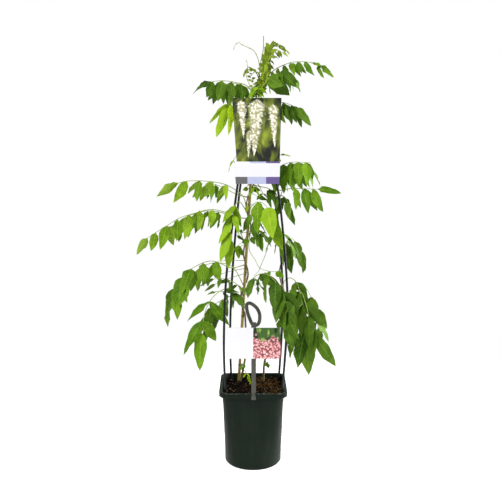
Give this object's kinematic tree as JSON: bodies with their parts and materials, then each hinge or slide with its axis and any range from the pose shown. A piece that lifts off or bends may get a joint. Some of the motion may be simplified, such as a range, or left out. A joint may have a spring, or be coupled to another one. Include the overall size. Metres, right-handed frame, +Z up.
{
  "type": "potted wisteria",
  "caption": "Young climbing wisteria in a square-topped plastic nursery pot, twined up a bamboo cane inside a wire-thin plastic trellis.",
  "frame": {"origin": "centre of the pot's flat underside", "axes": "+Z up along the plant, -Y towards the side that carries the card, the label and the carry strap, +X to the right of that side"},
  "size_m": [0.4988, 0.3191, 1.069],
  "materials": {
    "pot_plastic": "moulded recycled polypropylene, dark green-grey, satin",
    "potting_soil": "damp brown potting compost with reddish fibres and bark crumbs",
    "bamboo": "honey-tan split-skin bamboo, satin, darker at the nodes",
    "trellis_plastic": "near-black moulded polypropylene, satin",
    "bark": "olive-brown young bark with pale lenticels",
    "strap_plastic": "charcoal-grey moulded polypropylene, satin",
    "card_print": null,
    "label_print": null,
    "foliage_deep": "deep green older leaflets, soft sheen, paler veins",
    "foliage_leaf": "mid-green leaflets, soft sheen, paler veins",
    "foliage_bright": "bright green leaflets, slightly translucent",
    "foliage_pale": "yellow-green young leaflets, translucent",
    "foliage_young": "olive-bronze new shoots and leaflets with fine down"
  },
  "bodies": {
    "root": {"pot": "pot_plastic", "soil": "potting_soil", "bamboo_cane": "bamboo", "trellis_leg_front_left": "trellis_plastic", "trellis_leg_back_left": "trellis_plastic", "trellis_leg_back_right": "trellis_plastic", "trellis_leg_front_right": "trellis_plastic", "trellis_crown": "trellis_plastic", "stem_main": "bark", "stem_second": "bark", "carry_strap": "strap_plastic", "card": "card_print", "label": "label_print", "shoot_tendril": "foliage_young", "shoot_left": "foliage_young", "frond_crown_arching": "foliage_young", "frond_crown_small": "foliage_young", "frond_crown_left_bud": "foliage_young", "frond_crown_front": "foliage_bright", "frond_crown_bud": "foliage_young", "frond_top_right": "foliage_leaf", "frond_top_broad": "foliage_deep", "frond_label_right": "foliage_deep", "frond_top_left": "foliage_deep", "frond_label_left": "foliage_pale", "frond_left_upper": "foliage_bright", "frond_left_long": "foliage_bright", "frond_left_middle": "foliage_leaf", "frond_left_low": "foliage_leaf", "frond_left_inner": "foliage_deep", "frond_left_front": "foliage_deep", "frond_inner_pale": "foliage_bright", "frond_centre": "foliage_bright", "frond_centre_dark": "foliage_deep", "frond_right_inner": "foliage_deep", "frond_right_hanging": "foliage_deep", "frond_right_upper": "foliage_leaf", "frond_right_fork": "foliage_leaf", "frond_right_middle": "foliage_deep", "frond_front_low": "foliage_deep", "frond_right_low": "foliage_deep", "frond_right_outer": "foliage_deep", "frond_right_hem": "foliage_deep", "twig_centre": "foliage_leaf", "sprig_cane": "foliage_bright", "sprig_right": "foliage_deep", "sprout_base": "foliage_pale", "leaf_stub": "foliage_deep", "leaf_low": "foliage_leaf", "leaf_label_left": "foliage_pale", "leaf_label_right": "foliage_bright", "frond_back_upper_left": "foliage_leaf", "frond_back_left": "foliage_leaf", "frond_back_low_left": "foliage_leaf", "frond_back_low": "foliage_deep", "frond_back_upper_right": "foliage_leaf", "frond_back_right": "foliage_deep", "frond_back_low_right": "foliage_deep", "frond_back_top_right": "foliage_deep", "frond_back_top_left": "foliage_deep"}
  },
  "joints": []
}
